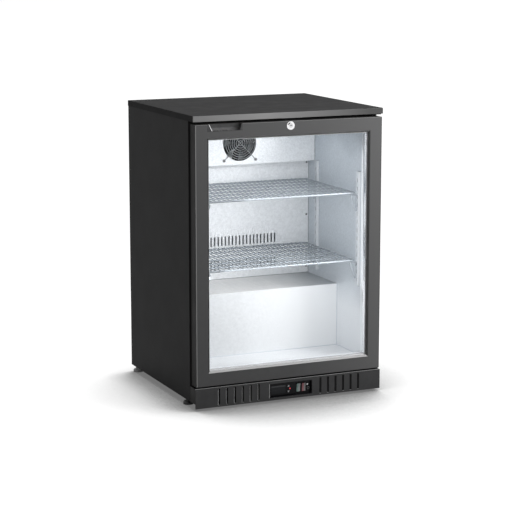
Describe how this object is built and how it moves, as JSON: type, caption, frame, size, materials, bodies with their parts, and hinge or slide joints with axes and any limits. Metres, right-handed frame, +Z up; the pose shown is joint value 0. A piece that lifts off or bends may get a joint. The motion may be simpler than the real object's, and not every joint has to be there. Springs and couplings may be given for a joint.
{
  "type": "undercounter refrigerator",
  "caption": "Undercounter back-bar refrigerator with one hinged glass door, wire shelves, louvred kick plate, front controller and rear cooling unit.",
  "frame": {"origin": "on the floor under the middle of the bounding box", "axes": "+Z up, the glass door faces -Y, its hinge is on the +X side"},
  "size_m": [0.6, 0.535, 0.85],
  "materials": {
    "black_steel": "satin",
    "black_worktop": "satin",
    "door_black": "satin",
    "black_plastic": "matte",
    "gloss_black": "gloss",
    "display_lens": "gloss",
    "white_plastic": "satin",
    "red_led": "gloss",
    "rubber_black": "matte",
    "foot_black": "matte",
    "foot_grey": "matte",
    "glass": "gloss",
    "spacer": "satin",
    "liner_white": "satin",
    "liner_step": "satin",
    "chrome": "polished",
    "zinc": "satin",
    "white_wire": "satin",
    "galvanised": "satin",
    "board": "matte",
    "foam": "matte",
    "coil": "satin",
    "compressor_black": "gloss",
    "copper": "satin",
    "fan_black": "matte",
    "lamp_white": "gloss"
  },
  "bodies": {
    "cabinet": {"worktop_skin": "black_worktop", "worktop_core": "board", "strike_plate": "zinc", "side_panels": "black_steel", "back_panel": "galvanised", "front_frame": "black_steel", "base_pan": "galvanised", "inner_panels": "galvanised", "insulation": "foam", "liner": "liner_white", "step_cover": "liner_step", "rear_grille": "black_steel", "cable_entry": "black_plastic", "screws": "zinc", "door_hinges": "zinc", "kick_plate": "black_plastic", "control_housing": "gloss_black", "controller": "gloss_black", "controller_display": "display_lens", "status_led": "red_led", "switch_panel": "gloss_black", "fan_cover": "liner_white", "duct_panel": "liner_white", "evaporator_fan_frame": "fan_black", "fan_guard": "chrome", "evaporator": "coil", "lamp_housing": "white_plastic", "lamp_strip": "lamp_white", "shelf_pilasters": "liner_white", "shelf_clips": "chrome", "compressor": "compressor_black", "compressor_mounts": "rubber_black", "drain_tray": "black_plastic", "condenser": "coil", "condenser_shroud": "galvanised", "condenser_fan_motor": "fan_black", "refrigerant_pipes": "copper"},
    "door": {"door_frame": "door_black", "door_corner_keys": "black_plastic", "door_glass": "glass", "glazing_spacer": "spacer", "door_gasket": "rubber_black", "finger_pull": "gloss_black", "finger_pull_trim": "chrome", "lock_barrel": "chrome"},
    "lock": {"lock_plug": "chrome", "lock_cam": "zinc"},
    "evaporator_fan": {"evaporator_fan_rotor": "fan_black"},
    "condenser_fan": {"condenser_fan_rotor": "fan_black"},
    "lower_shelf": {"shelf_lower": "white_wire"},
    "upper_shelf": {"shelf_upper": "white_wire"},
    "up_key": {"key_up": "black_plastic"},
    "down_key": {"key_down": "black_plastic"},
    "light_switch": {"rocker_light": "white_plastic"},
    "fan_switch": {"rocker_fan": "white_plastic"},
    "foot_front_left": {"foot_front_left": "foot_black"},
    "foot_front_right": {"foot_front_right": "foot_black"},
    "foot_rear_left": {"foot_rear_left": "foot_grey"},
    "foot_rear_right": {"foot_rear_right": "foot_grey"}
  },
  "joints": [
    {"name": "door_hinge", "type": "hinge", "parent": "cabinet", "child": "door", "pos_m": [0.283, -0.24, 0.44765], "axis": [0, 0, 1], "range_deg": [0, 100], "stiffness_Nm_per_rad": 1.2, "springref_deg": -34.38},
    {"name": "lock_turn", "type": "hinge", "parent": "door", "child": "lock", "pos_m": [0, -0.2435, 0.8113], "axis": [0, -1, 0], "range_deg": [0, 90]},
    {"name": "evaporator_fan_spin", "type": "hinge", "parent": "cabinet", "child": "evaporator_fan", "pos_m": [0, 0.11, 0.722], "axis": [0, 1, 0], "continuous": true},
    {"name": "condenser_fan_spin", "type": "hinge", "parent": "cabinet", "child": "condenser_fan", "pos_m": [0.14, 0.107, 0.12], "axis": [0, 1, 0], "continuous": true},
    {"name": "lower_shelf_lift", "type": "slide", "parent": "cabinet", "child": "lower_shelf", "axis": [0, 0, 1], "range_m": [0, 0.04]},
    {"name": "upper_shelf_lift", "type": "slide", "parent": "cabinet", "child": "upper_shelf", "axis": [0, 0, 1], "range_m": [0, 0.04]},
    {"name": "up_key_press", "type": "slide", "parent": "cabinet", "child": "up_key", "axis": [0, 1, 0], "range_m": [0, 0.0007], "stiffness_N_per_m": 300, "springref_m": -0.001},
    {"name": "down_key_press", "type": "slide", "parent": "cabinet", "child": "down_key", "axis": [0, 1, 0], "range_m": [0, 0.0007], "stiffness_N_per_m": 300, "springref_m": -0.001},
    {"name": "light_switch_tip", "type": "hinge", "parent": "cabinet", "child": "light_switch", "pos_m": [0.031, -0.2545, 0.036], "axis": [-1, 0, 0], "range_deg": [0, 12]},
    {"name": "fan_switch_tip", "type": "hinge", "parent": "cabinet", "child": "fan_switch", "pos_m": [0.0485, -0.2545, 0.036], "axis": [-1, 0, 0], "range_deg": [0, 12]},
    {"name": "foot_front_left_screw", "type": "slide", "parent": "cabinet", "child": "foot_front_left", "axis": [0, 0, -1], "range_m": [0, 0.015]},
    {"name": "foot_front_right_screw", "type": "slide", "parent": "cabinet", "child": "foot_front_right", "axis": [0, 0, -1], "range_m": [0, 0.015]},
    {"name": "foot_rear_left_screw", "type": "slide", "parent": "cabinet", "child": "foot_rear_left", "axis": [0, 0, -1], "range_m": [0, 0.015]},
    {"name": "foot_rear_right_screw", "type": "slide", "parent": "cabinet", "child": "foot_rear_right", "axis": [0, 0, -1], "range_m": [0, 0.015]}
  ]
}
